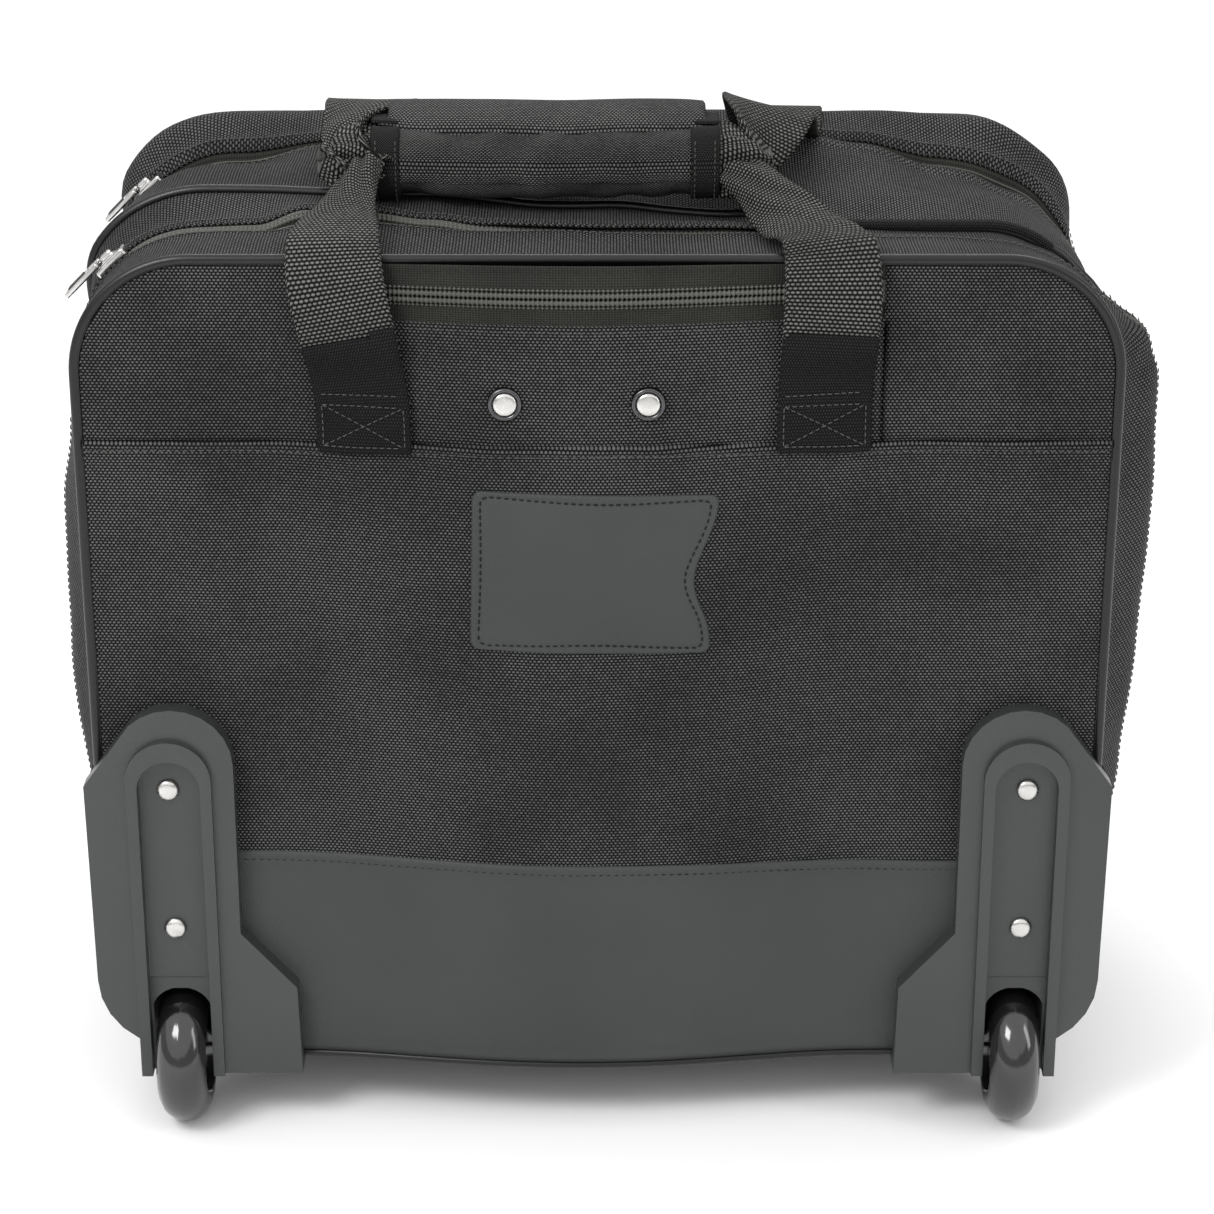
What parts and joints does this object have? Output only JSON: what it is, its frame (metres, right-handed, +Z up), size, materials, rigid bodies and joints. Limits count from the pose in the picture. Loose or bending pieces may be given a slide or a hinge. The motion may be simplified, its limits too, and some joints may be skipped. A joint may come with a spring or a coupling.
{
  "type": "rolling pilot flight case",
  "caption": "Soft-sided rolling pilot flight case with telescopic tow handle, wheel housings, zipped compartments that open forward and a padded carry grip.",
  "frame": {"origin": "middle of the case's footprint, on the floor", "axes": "+X across the width, -Y towards the wheel side, +Y towards the front pocket, +Z up"},
  "size_m": [0.4738, 0.28, 0.4432],
  "materials": {
    "ballistic_nylon": "ballistic nylon, near black with a light dotted basket weave",
    "leatherette": "matt grey leatherette with a fine grain",
    "stiff_board": "stiffener board under lining",
    "piping": "satin PVC piping cord",
    "zip_tape": "dark olive-grey zip tape with a black nylon coil",
    "moulded_plastic": "dark grey moulded plastic, satin",
    "hub_plastic": "black moulded hub",
    "rivets": "bright rivet heads",
    "axle_steel": "plain steel",
    "wheel_tyre": "glossy black wheel tread",
    "handle_tubes": "anodised aluminium",
    "button_plastic": "black push button",
    "zip_metal": "polished zip hardware",
    "lining": "plain polyester lining over foam",
    "grip_nylon": "padded nylon grip with bound edges",
    "webbing": "coarse dark grey webbing"
  },
  "bodies": {
    "rear_section": {"rear_upper_panel": "ballistic_nylon", "rear_lower_panel": "ballistic_nylon", "rear_band": "leatherette", "back_board": "stiff_board", "rear_gusset": "ballistic_nylon", "rear_piping": "piping", "rear_zip_inner_tape": "zip_tape", "bottom_panel": "ballistic_nylon", "base_tray": "stiff_board", "skid_feet": "moulded_plastic", "left_wheel_housing": "moulded_plastic", "right_wheel_housing": "moulded_plastic", "housing_rivets": "rivets", "left_axle": "axle_steel", "right_axle": "axle_steel", "handle_outer_tubes": "handle_tubes", "handle_top_bracket": "moulded_plastic", "handle_base_bracket": "moulded_plastic", "handle_rivets": "rivets", "tag_holder": "leatherette", "handle_zip_lower_tape": "zip_tape", "handle_zip_upper_tape": "zip_tape", "laptop_sleeve": "lining", "rear_strap_left": "webbing", "rear_strap_right": "webbing"},
    "left_wheel": {"left_tyre": "wheel_tyre", "left_hub": "hub_plastic", "left_bearings": "axle_steel"},
    "right_wheel": {"right_tyre": "wheel_tyre", "right_hub": "hub_plastic", "right_bearings": "axle_steel"},
    "handle_middle_stage": {"handle_middle_stage": "handle_tubes"},
    "tow_handle": {"handle_inner_stage": "handle_tubes", "tow_grip": "moulded_plastic"},
    "release_button": {"release_button": "button_plastic"},
    "handle_zip_slider": {"handle_zip_slider": "zip_metal"},
    "handle_zip_puller": {"handle_zip_puller": "zip_metal"},
    "middle_section": {"middle_gusset": "ballistic_nylon", "divider_panel": "lining", "file_divider": "lining", "middle_piping": "piping", "rear_zip_outer_tape": "zip_tape", "main_zip_inner_tape": "zip_tape"},
    "rear_zip_slider": {"rear_zip_slider": "zip_metal"},
    "rear_zip_puller": {"rear_zip_puller": "zip_metal"},
    "main_zip_slider": {"main_zip_slider": "zip_metal"},
    "main_zip_puller": {"main_zip_puller": "zip_metal"},
    "front_section": {"front_gusset": "ballistic_nylon", "front_panel": "ballistic_nylon", "main_zip_outer_tape": "zip_tape", "front_pocket": "ballistic_nylon", "pocket_zip": "zip_tape", "front_strap_left": "webbing", "front_strap_right": "webbing"},
    "pocket_zip_slider": {"pocket_zip_slider": "zip_metal"},
    "pocket_zip_puller": {"pocket_zip_puller": "zip_metal"},
    "carry_grip": {"grip_pad": "grip_nylon", "rear_loop": "webbing"},
    "grip_flap": {"grip_flap": "grip_nylon"},
    "front_loop": {"front_loop": "webbing"}
  },
  "joints": [
    {"name": "left_wheel_spin", "type": "hinge", "parent": "rear_section", "child": "left_wheel", "pos_m": [-0.185, -0.108, 0.032], "axis": [1, 0, 0], "continuous": true},
    {"name": "right_wheel_spin", "type": "hinge", "parent": "rear_section", "child": "right_wheel", "pos_m": [0.185, -0.108, 0.032], "axis": [1, 0, 0], "continuous": true},
    {"name": "handle_extend", "type": "slide", "parent": "rear_section", "child": "tow_handle", "axis": [0, 0, 1], "range_m": [0, 0.51], "deforming": ["handle_zip_lower_tape", "handle_zip_upper_tape", "rear_piping"]},
    {"name": "middle_stage_extend", "type": "slide", "parent": "rear_section", "child": "handle_middle_stage", "axis": [0, 0, 1], "range_m": [0, 0.255]},
    {"name": "release_button_press", "type": "slide", "parent": "tow_handle", "child": "release_button", "axis": [0, 0, -1], "range_m": [0, 0.0022], "stiffness_N_per_m": 400},
    {"name": "handle_zip_pull", "type": "slide", "parent": "rear_section", "child": "handle_zip_slider", "axis": [1, 0, 0], "range_m": [0, 0.2]},
    {"name": "handle_zip_puller_swing", "type": "hinge", "parent": "handle_zip_slider", "child": "handle_zip_puller", "pos_m": [-0.1042, -0.11905, 0.3875], "axis": [0, 0, 1], "range_deg": [0, 80]},
    {"name": "rear_compartment_open", "type": "hinge", "parent": "rear_section", "child": "middle_section", "pos_m": [0, -0.01, 0.03], "axis": [-1, 0, 0], "range_deg": [0, 7]},
    {"name": "main_compartment_open", "type": "hinge", "parent": "middle_section", "child": "front_section", "pos_m": [0, 0.0505, 0.03], "axis": [-1, 0, 0], "range_deg": [0, 22]},
    {"name": "rear_zip_travel", "type": "hinge", "parent": "rear_section", "child": "rear_zip_slider", "pos_m": [-0.167, -0.07, 0.351], "axis": [0, -1, 0], "range_deg": [-35, 35]},
    {"name": "rear_zip_puller_swing", "type": "hinge", "parent": "rear_zip_slider", "child": "rear_zip_puller", "pos_m": [-0.2107, -0.07, 0.38678], "axis": [0, 1, 0], "range_deg": [0, 100]},
    {"name": "main_zip_travel", "type": "hinge", "parent": "middle_section", "child": "main_zip_slider", "pos_m": [-0.167, 0.05, 0.351], "axis": [0, -1, 0], "range_deg": [-35, 35]},
    {"name": "main_zip_puller_swing", "type": "hinge", "parent": "main_zip_slider", "child": "main_zip_puller", "pos_m": [-0.2107, 0.05, 0.38678], "axis": [0, 1, 0], "range_deg": [0, 100]},
    {"name": "pocket_zip_pull", "type": "slide", "parent": "front_section", "child": "pocket_zip_slider", "axis": [1, 0, 0], "range_m": [0, 0.3]},
    {"name": "pocket_zip_puller_swing", "type": "hinge", "parent": "pocket_zip_slider", "child": "pocket_zip_puller", "pos_m": [-0.1515, 0.131, 0.3205], "axis": [0, -1, 0], "range_deg": [0, 110]},
    {"name": "grip_lift", "type": "slide", "parent": "rear_section", "child": "carry_grip", "axis": [0, 0, 1], "range_m": [0, 0.045], "deforming": ["rear_strap_left", "rear_strap_right"]},
    {"name": "front_loop_lift", "type": "slide", "parent": "front_section", "child": "front_loop", "axis": [0, 0, 1], "range_m": [0, 0.045], "deforming": ["front_strap_left", "front_strap_right"]},
    {"name": "grip_flap_open", "type": "hinge", "parent": "carry_grip", "child": "grip_flap", "pos_m": [0, -0.014, 0.4295], "axis": [-1, 0, 0], "range_deg": [0, 95]}
  ],
  "couplings": [
    {"joint": "middle_stage_extend", "follows": "handle_extend", "ratio": 0.5},
    {"joint": "front_loop_lift", "follows": "grip_lift", "ratio": 1}
  ]
}
